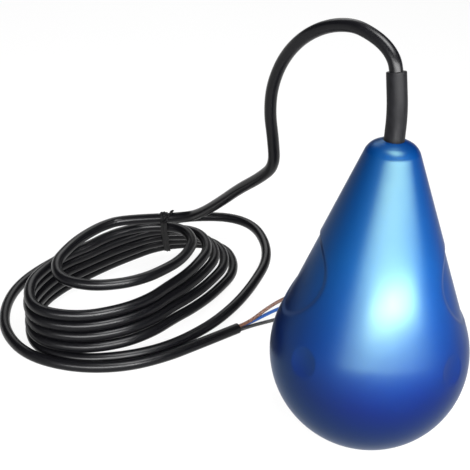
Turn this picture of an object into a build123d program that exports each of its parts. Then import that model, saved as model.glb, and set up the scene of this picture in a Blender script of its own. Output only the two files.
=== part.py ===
from build123d import *
from math import asin, atan2, cos, degrees, hypot, pi, radians, sin, sqrt, tan
import os

# Cable float switch: a pear-shaped float that stands upright on its rounded foot, with its
# cable arching out of the tip, down into a loose tied coil that lies on the same floor.
# Millimetres. The origin is the middle of the float's foot, +Z up along the float's axis.
# The camera side is -Y, and the coil lies behind and to the left, towards -X and +Y.

# Driving dimensions of the float
float_diameter = 100.0
foot_flat_diameter = 10.0
cone_half_angle = 20.7
tip_edge_radius = 12.13
tip_dome_rise = 4.3
tip_corner_radius = 8.0
shell_wall = 3.0
weld_step_height = 2.0
weld_step_wall = 1.5
weld_clearance = 0.1
cut_over = 1.0

# Moulded recesses: a large oval on each side, and four round dishes near the widest line
recess_half_width = 24.0
recess_half_height = 21.0
recess_rise = 24.6
recess_depth = 0.8
recess_margin = 2.0
dish_radius = 7.5
dish_depth = 1.2
dish_rise = 11.5
dish_bearing = 47.0

# Cable and its cores
cable_diameter = 6.4
core_diameter = 2.2
core_pitch_radius = 1.35
strand_diameter = 1.3
strand_length = 7.0
cable_clearance = 0.05
cable_inner_reach = 2.2

# Bend sleeve, seal and gland nut in the neck
sleeve_root_diameter = 9.8
sleeve_top_diameter = 9.4
sleeve_clearance = 0.1
sleeve_flange_diameter = 16.6
sleeve_flange_thickness = 3.0
sleeve_straight_rise = 12.6
sleeve_top_offset = (-2.2, 3.2, 30.6)
sleeve_bend_radius = 70.0
neck_bore_diameter = 17.0
neck_lid_thickness = 9.4
neck_wall = 3.0
neck_length = 27.0
seal_length = 12.0
seal_clearance = 0.1
nut_length = 9.0
nut_head_across_flats = 19.0
nut_head_thickness = 4.0
neck_core_height = 13.0

# Screw bosses and the moulded frame that hangs below the neck
boss_count = 3
boss_circle_radius = 15.6
boss_radius = 3.4
boss_pilot_radius = 1.2
boss_pilot_depth = 10.0
boss_height = 14.0
boss_bearing = 90.0
frame_screw_radius = 1.15
frame_screw_hole_radius = 1.6
frame_screw_length = 11.0
screw_head_height = 1.8
screw_head_radius = 2.7
frame_flange_radius = 19.3
frame_flange_thickness = 3.0
frame_plate_thickness = 2.5
frame_plate_half_width = 15.5
frame_plate_foot_half_width = 7.0
frame_plate_foot_drop = 8.0
frame_plate_shoulder_rise = 8.0
frame_rib_depth = 5.0
frame_rib_thickness = 1.4
frame_nut_clearance = 0.5
frame_boss_radius = 3.7

# Snap-action switch
switch_half_length = 14.0
switch_height = 15.9
switch_thickness = 10.3
switch_cover_thickness = 1.5
switch_edge_radius = 0.8
switch_hole_radius = 1.55
switch_hole_spacing_x = 22.2
switch_hole_spacing_z = 10.3
plunger_x = 7.0
plunger_radius = 1.5
plunger_bore_clearance = 0.08
plunger_reach = 1.6
plunger_length = 9.6
plunger_travel = 1.0
plunger_headroom = 0.6
plunger_edge_radius = 0.5
tab_width = 4.8
tab_thickness = 0.6
tab_height = 6.1
tab_root = 3.0
tab_spacing = 6.5
tab_clearance = 0.05
tab_hole_radius = 0.95
bolt_radius = 1.45
bolt_head_radius = 2.6
bolt_head_height = 1.6
bolt_nut_across_flats = 5.5
bolt_nut_thickness = 2.4
bolt_nut_clearance = 0.05

# Swinging weight on its pin
pivot_below_switch = 12.0
pin_radius = 1.5
pin_clearance = 0.1
pin_head_radius = 2.8
pin_head_thickness = 1.2
hub_radius = 5.0
hub_thickness = 6.0
hub_side_gap = 0.4
weight_arm_width = 6.0
weight_radius_share = 0.264
weight_thickness = 14.0
weight_drop_share = 0.57
weight_edge_radius = 1.2
toe_radius = 2.0
toe_gap = 0.3
toe_arm_width = 4.0
swing_limit_deg = 10.0
clip_thickness = 0.8
clip_radius = 3.2
clip_groove_gap = 0.1
clip_groove_depth = 0.45
clip_slot_half_width = 0.9
spacer_radius = 3.5
spacer_clearance = 0.05

# Ballast plate on its ribs in the lower shell
ballast_radius = 25.0
ballast_thickness = 8.0
ballast_bottom = 13.0
ballast_bore_radius = 2.2
ballast_edge_radius = 1.0
ballast_boss_radius = 5.0
ballast_pilot_radius = 1.55
ballast_screw_radius = 1.5
ballast_screw_length = 16.0
ballast_screw_head_radius = 4.0
ballast_rib_count = 4
ballast_rib_thickness = 2.0
ballast_rib_reach = 22.0

# Cable tie round the stacked turns: a flat band that leans back with them, and the twisted
# end of the tie, which lies over the top turn
tie_band_width = 4.2
tie_band_thickness = 0.8
tie_length = 61.0
tie_half_width = 5.0
tie_corner_radius = 4.2
tie_lean = 44.2
tie_middle = (-115.5, 164.2, 30.8)
tie_twist_diameter = 1.8
tie_twist_start = (-114.0, 141.6, 49.5)
tie_twist_end = (-107.0, 143.5, 54.6)

# Route of the cable from the sleeve's top over the arch to the tie, points chosen by hand for
# a sleeve top at the drawn height; a taller or shorter float lifts or drops its upper points
arch_drawn_height = 194.0
arch_low_height = 46.0
arch_drawn_points = [
    (-3.6, 4.8, 199.3),
    (-7.6, 8.6, 204.2),
    (-13.6, 13.9, 207.6),
    (-21.5, 21.5, 209.6),
    (-32.5, 32.0, 206.0),
    (-43.0, 43.0, 197.0),
    (-51.0, 53.0, 183.5),
    (-55.5, 60.0, 167.0),
    (-55.8, 63.5, 151.0),
    (-53.0, 66.5, 135.5),
    (-51.0, 71.0, 118.5),
    (-58.0, 82.0, 106.6),
    (-69.3, 98.0, 92.4),
    (-80.0, 115.0, 76.0),
    (-91.0, 131.0, 61.0),
    (-104.0, 146.0, 50.5),
    (-118.0, 155.0, 46.0),
]

# The coil: how far each turn reaches from the coil's middle towards eight directions, which
# go round from the far end by the back, the left, the near end, the front and the right
coil_middle = (-139.0, 110.0)
coil_far_bearing = 52.0
turn_reach = [
    (54.0, 38.0, 29.0, 33.0, 50.0, 41.5, 35.0, 40.0),
    (56.0, 38.0, 29.0, 44.0, 71.0, 52.0, 38.0, 46.0),
    (72.0, 40.0, 31.0, 46.0, 71.0, 57.0, 42.5, 50.0),
    (80.0, 42.0, 33.0, 46.0, 70.0, 56.0, 45.0, 54.0),
    (92.0, 45.0, 35.0, 47.0, 70.0, 58.0, 51.0, 62.0),
    (98.0, 50.0, 38.0, 49.0, 69.0, 60.0, 57.0, 80.0),
    (127.0, 84.0, 74.0, 72.0, 77.0, 68.5, 64.0, 72.0),
]
stack_height = 49.5
floor_layer_height = 13.0
stack_turns = turn_reach[:-1]

# Cut end of the jacket, and where each core runs from it, points chosen by hand
tail_start = (-104.0, 60.0, cable_diameter / 2)
jacket_end = (-66.0, 90.5, cable_diameter / 2)
core_lead = 8.0
core_routes = {
    "brown": [(-49.0, 105.5, 9.0), (-38.0, 114.0, 12.5), (-26.5, 122.5, 12.0), (-15.5, 130.5, 7.5)],
    "blue": [(-50.5, 106.0, 3.6), (-41.0, 115.5, 3.8), (-30.5, 125.5, 2.4), (-20.0, 135.5, 1.3)],
    "black": [(-48.0, 102.5, 1.7), (-36.5, 109.5, 1.5), (-24.5, 114.5, 1.3), (-12.0, 117.5, 1.3)],
}
core_start_angles = {"brown": 100.0, "blue": 340.0, "black": 220.0}
inner_core_angles = {"blue": 210.0, "brown": 90.0, "black": 330.0}
inner_core_drop = 14.8
inner_core_straight_share = 0.28
arc_share = 0.45

os.makedirs("parts", exist_ok=True)

# Worked out from the sizes above
float_radius = float_diameter / 2
cone = radians(cone_half_angle)
ball_height = sqrt(float_radius**2 - (foot_flat_diameter / 2) ** 2)
cone_start_height = ball_height + float_radius * sin(cone)
cone_start_radius = float_radius * cos(cone)
tip_corner_height = cone_start_height + (cone_start_radius - tip_edge_radius) / tan(cone)
tip_height = tip_corner_height + tip_dome_rise
cable_radius = cable_diameter / 2
recess_height = cone_start_height + recess_rise
dish_height = ball_height + dish_rise
sleeve_straight_height = tip_height + sleeve_straight_rise
sleeve_top = (sleeve_top_offset[0], sleeve_top_offset[1], tip_height + sleeve_top_offset[2])
neck_bore_top = tip_height - neck_lid_thickness
neck_bottom = neck_bore_top - neck_length
neck_core_top = neck_bottom + neck_core_height
boss_root_height = neck_bottom + boss_height
neck_bore_radius = neck_bore_diameter / 2
neck_outer_radius = neck_bore_radius + neck_wall
seal_top = neck_bore_top - sleeve_flange_thickness
nut_top = seal_top - seal_length
nut_bottom = neck_bottom - nut_head_thickness
cable_inner_end = nut_bottom - cable_inner_reach
frame_top = neck_bottom
plate_front = switch_thickness / 2
tab_top = cable_inner_end - inner_core_drop
switch_top = tab_top - tab_height
switch_bottom = switch_top - switch_height
pivot_height = switch_bottom - pivot_below_switch
frame_plate_foot_height = pivot_height - frame_plate_foot_drop
frame_plate_neck_height = pivot_height + frame_plate_shoulder_rise
plunger_bottom = switch_bottom - plunger_reach
toe_top = plunger_bottom - toe_gap
hub_half = hub_thickness / 2
ballast_top = ballast_bottom + ballast_thickness
weight_room = pivot_height - ballast_top - screw_head_height
weight_drop = weight_drop_share * weight_room
weight_radius = weight_radius_share * weight_room


def cone_radius(height, inset=0.0):
    """Radius of the float's cone at a height, measured inset below its skin."""
    run_in = (height - cone_start_height) * tan(cone)
    return cone_start_radius - run_in - inset / cos(cone)


def save(solid, node):
    """Write one sub-part to its own STEP file."""
    export_step(solid, f"parts/{node}.step")


def revolve_profile(points):
    """A ring turned about the float's axis from (radius, height) corners."""
    outline = Polyline(*[(r, 0, h) for r, h in points], close=True)
    return revolve(make_face(outline), axis=Axis.Z, revolution_arc=360)


def disc(radius, low, high, at=(0.0, 0.0)):
    """An upright cylinder between two heights."""
    place = Pos(at[0], at[1], (low + high) / 2)
    return place * Cylinder(radius, high - low)


def rod_y(radius, low, high, x, z):
    """A cylinder that lies along Y between two places."""
    place = Pos(x, (low + high) / 2, z) * Rot(90, 0, 0)
    return place * Cylinder(radius, high - low)


def block(x_low, x_high, y_low, y_high, z_low, z_high):
    """A box between its lowest and highest corners."""
    place = Pos((x_low + x_high) / 2, (y_low + y_high) / 2, (z_low + z_high) / 2)
    return place * Box(x_high - x_low, y_high - y_low, z_high - z_low)


def round_route(points):
    """Straight runs joined by arcs, each as large as its two runs allow."""
    steps = [Vector(*b) - Vector(*a) for a, b in zip(points, points[1:])]
    radii = []
    for before, after in zip(steps, steps[1:]):
        half_turn = radians(before.get_angle(after)) / 2
        radii.append(arc_share * min(before.length, after.length) / tan(half_turn))
    return FilletPolyline(*points, radius=radii), radii


def tube(path, radius):
    """A round bar carried along a path."""
    start = Plane(origin=path @ 0, z_dir=path % 0)
    return sweep(start * Circle(radius), path=path)


def tube_report(name, solid, path, radius, radii):
    """Print a route's radii, and its volume against its section times its length."""
    wanted = pi * radius**2 * path.length
    print(name, "length", round(path.length, 1), "volume share", round(solid.volume / wanted, 4))
    print(name, "radii", [round(r, 1) for r in radii])


# Float skin: a ball below, a tangent cone above, a low dome at the tip
def float_body():
    low_flat = foot_flat_diameter / 2
    ball_side = (float_radius, ball_height)
    corner = (cone_radius(tip_corner_height), tip_corner_height)
    dome_radius = (corner[0] ** 2 + tip_dome_rise**2) / (2 * tip_dome_rise)
    half_dome = asin(corner[0] / dome_radius) / 2
    dome_middle = (
        dome_radius * sin(half_dome),
        tip_height - dome_radius * (1 - cos(half_dome)),
    )
    ball_middle = -(pi / 2 - asin(low_flat / float_radius)) / 2
    ball_mid = (float_radius * cos(ball_middle), ball_height + float_radius * sin(ball_middle))
    upper_mid = (
        float_radius * cos(cone / 2),
        ball_height + float_radius * sin(cone / 2),
    )
    outline = [
        Line((0, 0), (low_flat, 0)),
        ThreePointArc((low_flat, 0), ball_mid, ball_side),
        ThreePointArc(ball_side, upper_mid, (cone_start_radius, cone_start_height)),
        Line((cone_start_radius, cone_start_height), corner),
        ThreePointArc(corner, dome_middle, (0, tip_height)),
        Line((0, tip_height), (0, 0)),
    ]
    face = make_face(Curve() + outline)
    tip_corner = face.vertices().sort_by_distance((corner[0], corner[1], 0))[0]
    face = fillet(tip_corner, tip_corner_radius)
    upright = Rot(90, 0, 0) * face
    return revolve(upright, axis=Axis.Z, revolution_arc=360)


def cavity():
    """The hollow inside both shells, up to the neck, as one turned solid."""
    inner_radius = float_radius - shell_wall
    side = (inner_radius, ball_height)
    low_mid = (inner_radius * cos(pi / 4), ball_height - inner_radius * sin(pi / 4))
    high_mid = (inner_radius * cos(cone / 2), ball_height + inner_radius * sin(cone / 2))
    join = (inner_radius * cos(cone), ball_height + inner_radius * sin(cone))
    top = (cone_radius(neck_core_top, shell_wall), neck_core_top)
    outline = [
        ThreePointArc((0, ball_height - inner_radius), low_mid, side),
        ThreePointArc(side, high_mid, join),
        Line(join, top),
        Line(top, (neck_outer_radius, neck_core_top)),
        Line((neck_outer_radius, neck_core_top), (neck_outer_radius, neck_bottom)),
        Line((neck_outer_radius, neck_bottom), (0, neck_bottom)),
        Line((0, neck_bottom), (0, ball_height - inner_radius)),
    ]
    upright = Rot(90, 0, 0) * make_face(Curve() + outline)
    return revolve(upright, axis=Axis.Z, revolution_arc=360)


def polar_places(count, radius, bearing):
    """Places on a circle, evenly spaced from a first bearing."""
    turns = [radians(bearing + 360 * i / count) for i in range(count)]
    return [(radius * cos(t), radius * sin(t)) for t in turns]


def recess_cut(skin):
    """A shallow oval panel of even depth on each side of the cone."""
    reach = float_radius + cut_over
    oval = Plane.YZ * Pos(0, recess_height) * Ellipse(recess_half_width, recess_half_height)
    prism = extrude(oval, amount=reach, both=True)
    return prism & skin


def panel_skin(body):
    """The outer layer of the cone, as deep as the side panels."""
    low = recess_height - recess_half_height - recess_margin
    high = recess_height + recess_half_height + recess_margin
    inner = revolve_profile([
        (0, low), (cone_radius(low, recess_depth), low),
        (cone_radius(high, recess_depth), high), (0, high),
    ])
    if low < cone_start_height:
        ball = Pos(0, 0, ball_height) * Sphere(float_radius - recess_depth)
        inner = inner & (ball + block(-float_radius, float_radius, -float_radius, float_radius,
                                      cone_start_height, high))
    outer = body & disc(float_radius + cut_over, low, high)
    return outer - inner


def dish_cuts():
    """Four round dishes on the shoulder just above the widest line."""
    bend = 1 / (2 * dish_depth / dish_radius**2 - 1 / float_radius)
    lift = asin((dish_height - ball_height) / float_radius)
    depth_out = float_radius + bend - dish_depth
    balls = []
    for side in (dish_bearing, -dish_bearing, 180 - dish_bearing, 180 + dish_bearing):
        around = radians(side)
        flat = depth_out * cos(lift)
        place = Pos(flat * sin(around), -flat * cos(around), ball_height + depth_out * sin(lift))
        balls.append(place * Sphere(bend))
    return balls


def shells():
    body = float_body()
    hollow = body - cavity()
    weld = ball_height
    reach = float_radius + cut_over
    below = block(-reach, reach, -reach, reach, -cut_over, weld)
    lower = hollow & below
    upper = hollow - below
    inner_radius = float_radius - shell_wall
    step_outer = inner_radius + weld_step_wall
    lip = disc(step_outer, weld, weld + weld_step_height)
    lip = lip - disc(inner_radius, weld - cut_over, weld + weld_step_height + cut_over)
    room = disc(step_outer + weld_clearance, weld - cut_over,
                weld + weld_step_height + weld_clearance)
    lower = lower + lip
    upper = upper - room
    for x, y in polar_places(boss_count, boss_circle_radius, boss_bearing):
        boss = disc(boss_radius, neck_bottom, boss_root_height, (x, y)) & body
        upper = upper + boss
    for x, y in polar_places(boss_count, boss_circle_radius, boss_bearing):
        upper = upper - disc(boss_pilot_radius, neck_bottom - cut_over,
                             neck_bottom + boss_pilot_depth, (x, y))
    upper = upper - disc(neck_bore_radius, neck_bottom - cut_over, neck_bore_top)
    tip_hole = sleeve_root_diameter / 2 + sleeve_clearance
    upper = upper - disc(tip_hole, neck_bore_top - cut_over, tip_height + cut_over)
    upper = upper - recess_cut(panel_skin(body))
    for ball in dish_cuts():
        upper = upper - ball
    floor_top = ball_height - (float_radius - shell_wall)
    ball_room = Pos(0, 0, ball_height) * Sphere(float_radius - shell_wall / 2)
    rib_foot = floor_top / 2
    post = disc(ballast_boss_radius, rib_foot, ballast_bottom)
    ribs = post
    for i in range(ballast_rib_count):
        rib = block(0, ballast_rib_reach, -ballast_rib_thickness / 2, ballast_rib_thickness / 2,
                    rib_foot, ballast_bottom)
        ribs = ribs + Rot(0, 0, 360 * i / ballast_rib_count) * rib
    lower = lower + (ribs & ball_room)
    lower = lower - disc(ballast_pilot_radius, floor_top, ballast_bottom + cut_over)
    return lower, upper


lower_shell, upper_shell = shells()
save(lower_shell, "lower_shell")
save(upper_shell, "upper_shell")


# Bend sleeve, with the flange that the tip traps
def sleeve_path(low):
    points = [(0, 0, low), (0, 0, sleeve_straight_height), sleeve_top]
    return FilletPolyline(*points, radius=sleeve_bend_radius)


def bend_sleeve():
    path = sleeve_path(seal_top)
    root = Plane(origin=path @ 0, z_dir=path % 0) * Circle(sleeve_root_diameter / 2)
    top = Plane(origin=path @ 1, z_dir=path % 1) * Circle(sleeve_top_diameter / 2)
    body = sweep(Sketch() + [root, top], path=path, multisection=True)
    flange = disc(sleeve_flange_diameter / 2, seal_top, neck_bore_top)
    bore = tube(path, cable_radius + cable_clearance)
    return body + flange - bore


save(bend_sleeve(), "bend_sleeve")

seal = disc(neck_bore_radius - seal_clearance, nut_top, seal_top)
seal = seal - disc(cable_radius + cable_clearance, nut_top - cut_over, seal_top + cut_over)
save(seal, "cable_seal")


# Gland nut: a threaded plug that presses the seal, with a hexagon head below the neck
def gland_nut():
    plug = disc(neck_bore_radius - seal_clearance, neck_bottom, nut_top)
    head = extrude(
        Plane.XY.offset(nut_bottom) * RegularPolygon(nut_head_across_flats / 2, 6, major_radius=False),
        amount=nut_head_thickness,
    )
    bore = disc(cable_radius + cable_clearance, nut_bottom - cut_over, nut_top + cut_over)
    return plug + head - bore


save(gland_nut(), "gland_nut")

entry_path = sleeve_path(cable_inner_end)
cable_entry = tube(entry_path, cable_radius)
save(cable_entry, "cable_entry")


# Moulded frame: a ring under the neck, and a plate that carries the switch and the pin
def switch_frame():
    ring = disc(frame_flange_radius, frame_top - frame_flange_thickness, frame_top)
    opening = nut_head_across_flats / sqrt(3) + frame_nut_clearance
    back = plate_front + frame_plate_thickness
    outline = Polyline(
        (-frame_plate_half_width, frame_top - frame_flange_thickness),
        (-frame_plate_half_width, frame_plate_neck_height),
        (-frame_plate_foot_half_width, frame_plate_foot_height),
        (frame_plate_foot_half_width, frame_plate_foot_height),
        (frame_plate_half_width, frame_plate_neck_height),
        (frame_plate_half_width, frame_top - frame_flange_thickness),
        close=True,
    )
    plate = extrude(Plane.XZ.offset(-back) * make_face(outline), amount=frame_plate_thickness)
    rib_middle = frame_plate_half_width - frame_rib_thickness / 2
    ribs = [
        block(side * rib_middle - frame_rib_thickness / 2,
              side * rib_middle + frame_rib_thickness / 2,
              back, back + frame_rib_depth,
              frame_plate_neck_height, frame_top - frame_flange_thickness)
        for side in (-1, 1)
    ]
    boss = rod_y(frame_boss_radius, back, back + frame_rib_depth, 0, pivot_height)
    frame = ring + plate + ribs[0] + ribs[1] + boss
    ring_low = frame_top - frame_flange_thickness - cut_over
    frame = frame - disc(opening, ring_low, frame_top + cut_over)
    for x, y in polar_places(boss_count, boss_circle_radius, boss_bearing):
        frame = frame - disc(frame_screw_hole_radius, ring_low, frame_top + cut_over, (x, y))
    for x, z in switch_bolt_places():
        frame = frame - rod_y(switch_hole_radius, plate_front - cut_over, back + cut_over, x, z)
    pin_bore = rod_y(pin_radius, plate_front - cut_over, back + frame_rib_depth + cut_over,
                     0, pivot_height)
    return frame - pin_bore


def switch_bolt_places():
    """The two fixing holes of the switch, on a diagonal."""
    half_x = switch_hole_spacing_x / 2
    middle = switch_bottom + switch_height / 2
    half_z = switch_hole_spacing_z / 2
    return [(-half_x, middle - half_z), (half_x, middle + half_z)]


def tab_places():
    return [-tab_spacing, 0.0, tab_spacing]


save(switch_frame(), "switch_frame")


# Switch case and cover, cut through by the fixing holes, the plunger's bore and the tab slots
def switch_pieces():
    split = plate_front - switch_cover_thickness
    case = block(-switch_half_length, switch_half_length, -plate_front, split,
                 switch_bottom, switch_top)
    case = fillet(case.edges().filter_by(Axis.Y), switch_edge_radius)
    cover = block(-switch_half_length, switch_half_length, split, plate_front,
                  switch_bottom, switch_top)
    cover = fillet(cover.edges().filter_by(Axis.Y), switch_edge_radius)
    for x, z in switch_bolt_places():
        hole = rod_y(switch_hole_radius, -plate_front - cut_over, plate_front + cut_over, x, z)
        case = case - hole
        cover = cover - hole
    bore_top = plunger_bottom + plunger_length + plunger_travel + plunger_headroom
    case = case - disc(plunger_radius + plunger_bore_clearance, switch_bottom - cut_over, bore_top,
                       (plunger_x, 0))
    for x in tab_places():
        half = tab_width / 2 + tab_clearance
        deep = tab_thickness / 2 + tab_clearance
        case = case - block(x - half, x + half, -deep, deep,
                            switch_top - tab_root, switch_top + cut_over)
    return case, cover


switch_case, switch_cover = switch_pieces()
save(switch_case, "switch_case")
save(switch_cover, "switch_cover")

plunger = disc(plunger_radius, plunger_bottom, plunger_bottom + plunger_length, (plunger_x, 0))
plunger = fillet(plunger.edges().sort_by(Axis.Z)[0], plunger_edge_radius)
save(plunger, "plunger")

tab_names = ["tab_normally_closed", "tab_common", "tab_normally_open"]
for name, x in zip(tab_names, tab_places()):
    tab = block(x - tab_width / 2, x + tab_width / 2, -tab_thickness / 2, tab_thickness / 2,
                switch_top - tab_root, switch_top + tab_height)
    tab = tab - rod_y(tab_hole_radius, -tab_thickness, tab_thickness, x,
                      switch_top + tab_height - tab_width / 2)
    save(tab, name)


# Fasteners: two bolts with nuts for the switch, three screws for the frame
def hex_bar(across, low, high, x, z):
    """A hexagon bar that lies along Y."""
    face = Plane.XZ.offset(-high) * Pos(x, z) * Rot(0, 0, 30) * RegularPolygon(
        across / 2, 6, major_radius=False)
    return extrude(face, amount=high - low)


bolt_back = plate_front + frame_plate_thickness
bolts = []
nuts = []
for x, z in switch_bolt_places():
    shank = rod_y(bolt_radius, -plate_front, bolt_back + bolt_nut_thickness, x, z)
    head = rod_y(bolt_head_radius, -plate_front - bolt_head_height, -plate_front, x, z)
    bolts.append(shank + head)
    nut = hex_bar(bolt_nut_across_flats, bolt_back, bolt_back + bolt_nut_thickness, x, z)
    nuts.append(nut - rod_y(bolt_radius + bolt_nut_clearance, bolt_back - cut_over,
                            bolt_back + bolt_nut_thickness + cut_over, x, z))
save(Compound(children=bolts), "switch_bolts")
save(Compound(children=nuts), "switch_nuts")

frame_low = frame_top - frame_flange_thickness
frame_screws = []
for place in polar_places(boss_count, boss_circle_radius, boss_bearing):
    shank = disc(frame_screw_radius, frame_low, frame_low + frame_screw_length, place)
    head = disc(screw_head_radius, frame_low - screw_head_height, frame_low, place)
    frame_screws.append(shank + head)
save(Compound(children=frame_screws), "frame_screws")


# Swinging weight: hub, arm and round bob below, and the toe that lifts the plunger
def swing_weight():
    hub = rod_y(hub_radius, -hub_half, hub_half, 0, pivot_height)
    bob_height = pivot_height - weight_drop
    bob = rod_y(weight_radius, -weight_thickness / 2, weight_thickness / 2, 0, bob_height)
    bob = fillet(bob.edges().filter_by(GeomType.CIRCLE), weight_edge_radius)
    arm = block(-weight_arm_width / 2, weight_arm_width / 2, -hub_half, hub_half,
                bob_height, pivot_height)
    toe_height = toe_top - toe_radius
    toe = rod_y(toe_radius, -hub_half, hub_half, plunger_x, toe_height)
    lean = atan2(plunger_x, toe_height - pivot_height)
    reach = hypot(plunger_x, toe_height - pivot_height)
    toe_arm = Pos(0, 0, pivot_height) * Rot(0, degrees(lean), 0) * block(
        -toe_arm_width / 2, toe_arm_width / 2, -hub_half, hub_half, 0, reach)
    weight = hub + arm + bob + toe + toe_arm
    return weight - rod_y(pin_radius + pin_clearance, -hub_half - cut_over, hub_half + cut_over,
                          0, pivot_height)


save(swing_weight(), "swing_weight")


# Pivot pin, pressed through the frame's boss from behind, with a clip on its free end
def pin_places():
    back = plate_front + frame_plate_thickness + frame_rib_depth
    clip_front = -hub_half - hub_side_gap - clip_thickness
    return back, clip_front, clip_front - clip_thickness


pin_back, clip_low, pin_front = pin_places()
groove_radius = pin_radius - clip_groove_depth
pivot_pin = rod_y(pin_radius, pin_front, pin_back, 0, pivot_height)
pivot_pin = pivot_pin + rod_y(pin_head_radius, pin_back, pin_back + pin_head_thickness,
                              0, pivot_height)
groove = rod_y(pin_radius + cut_over, clip_low - clip_groove_gap,
               clip_low + clip_thickness + clip_groove_gap, 0, pivot_height)
groove = groove - rod_y(groove_radius, clip_low - cut_over,
                        clip_low + clip_thickness + cut_over, 0, pivot_height)
save(pivot_pin - groove, "pivot_pin")

pin_clip = rod_y(clip_radius, clip_low, clip_low + clip_thickness, 0, pivot_height)
pin_clip = pin_clip - rod_y(groove_radius + clip_groove_gap / 2, clip_low - cut_over,
                            clip_low + clip_thickness + cut_over, 0, pivot_height)
pin_clip = pin_clip - block(-clip_slot_half_width, clip_slot_half_width,
                            clip_low - cut_over, clip_low + clip_thickness + cut_over,
                            pivot_height - clip_radius - cut_over, pivot_height)
save(pin_clip, "pin_clip")

spacer = rod_y(spacer_radius, hub_half + hub_side_gap / 2, plate_front, 0, pivot_height)
spacer = spacer - rod_y(pin_radius + spacer_clearance, hub_half, plate_front + cut_over,
                        0, pivot_height)
save(spacer, "pivot_spacer")

# Ballast plate and its screw
ballast = disc(ballast_radius, ballast_bottom, ballast_top)
ballast = chamfer(ballast.edges(), ballast_edge_radius)
ballast = ballast - disc(ballast_bore_radius, ballast_bottom - cut_over, ballast_top + cut_over)
save(ballast, "ballast_plate")
screw = disc(ballast_screw_radius, ballast_top - ballast_screw_length, ballast_top)
screw = screw + disc(ballast_screw_head_radius, ballast_top, ballast_top + screw_head_height)
save(screw, "ballast_screw")

# Inner cores, from the cable's end inside the float down to the switch tabs
core_colours = ["blue", "brown", "black"]
for colour, x in zip(core_colours, tab_places()):
    turn = radians(inner_core_angles[colour])
    start_x = core_pitch_radius * cos(turn)
    start_y = core_pitch_radius * sin(turn)
    straight = inner_core_straight_share * (cable_inner_end - tab_top)
    points = [
        (start_x, start_y, cable_inner_end),
        (start_x, start_y, cable_inner_end - straight),
        (x, 0.0, tab_top + straight),
        (x, 0.0, tab_top),
    ]
    path, radii = round_route(points)
    save(tube(path, core_diameter / 2), f"inner_core_{colour}")

# Free cable: the arch down to the coil
def lifted(point):
    """A drawn point of the arch, moved up or down with the sleeve's top."""
    share = min(1, (point[2] - arch_low_height) / (arch_drawn_height - arch_low_height))
    return (point[0], point[1], point[2] + share * (sleeve_top[2] - arch_drawn_height))


arch_points = [sleeve_top] + [lifted(point) for point in arch_drawn_points]
arch_path, arch_radii = round_route(arch_points)
arch = tube(arch_path, cable_radius) - cable_entry
save(arch, "cable")
tube_report("cable", arch, arch_path, cable_radius, arch_radii)


# Coil: one closed solid round the turns, a wide low layer and the stack above it
def oval(reaches, offset, height):
    """A smooth closed outline at a height through eight reaches from the coil's middle."""
    points = []
    for i, reach in enumerate(reaches):
        turn = radians(coil_far_bearing + 360 * i / len(reaches))
        out = reach + offset
        points.append((coil_middle[0] + out * cos(turn), coil_middle[1] + out * sin(turn), height))
    return make_face(Spline(*points, periodic=True))


def coil_solid():
    widest = [max(reaches) for reaches in zip(*stack_turns)]
    narrowest = [min(reaches) for reaches in zip(*stack_turns)]
    floor_widest = [max(reaches) for reaches in zip(*turn_reach)]
    stack = extrude(oval(widest, cable_radius, 0), amount=stack_height)
    floor = extrude(oval(floor_widest, cable_radius, 0), amount=floor_layer_height)
    hole = extrude(oval(narrowest, -cable_radius, -cut_over), amount=stack_height + 2 * cut_over)
    return stack + floor - hole


save(coil_solid(), "cable_coil")

# Straight tail to the jacket's cut end
tail_path = Line(tail_start, jacket_end)
save(tube(tail_path, cable_radius), "cable_tail")


# Tie: a band round the stacked turns, and its twisted end over the top turn
def cable_tie():
    lean = radians(tie_lean)
    plane = Plane(origin=tie_middle, x_dir=(0, cos(lean), sin(lean)), z_dir=(-1, 0, 0))
    band = RectangleRounded(2 * tie_half_width, tie_length, tie_corner_radius)
    band = band - RectangleRounded(
        2 * (tie_half_width - tie_band_thickness), tie_length - 2 * tie_band_thickness,
        tie_corner_radius - tie_band_thickness)
    loop = extrude(plane * band, amount=tie_band_width / 2, both=True)
    heading = Vector(*tie_twist_end) - Vector(*tie_twist_start)
    start = Plane(origin=tie_twist_start, z_dir=heading.normalized())
    return loop + extrude(start * Circle(tie_twist_diameter / 2), amount=heading.length)


save(cable_tie(), "cable_tie")

# Free cores past the jacket's end, each with its bared strands
tail_dir = (Vector(*jacket_end) - Vector(*tail_start)).normalized()
tail_side = Vector(0, 0, 1).cross(tail_dir)
for colour, route in core_routes.items():
    turn = radians(core_start_angles[colour])
    offset = tail_side * (core_pitch_radius * cos(turn)) + Vector(0, 0, core_pitch_radius * sin(turn))
    start = Vector(*jacket_end) + offset
    points = [tuple(start), tuple(start + tail_dir * core_lead)] + route
    path, radii = round_route(points)
    core = tube(path, core_diameter / 2)
    save(core, f"core_{colour}")
    tube_report(f"core_{colour}", core, path, core_diameter / 2, radii)
    end = Plane(origin=path @ 1, z_dir=path % 1)
    save(extrude(end * Circle(strand_diameter / 2), amount=strand_length), f"strands_{colour}")
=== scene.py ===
import math

import bpy
import numpy as np
from bpy.props import FloatProperty, FloatVectorProperty, IntProperty, PointerProperty
from mathutils import Matrix, Vector


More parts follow.
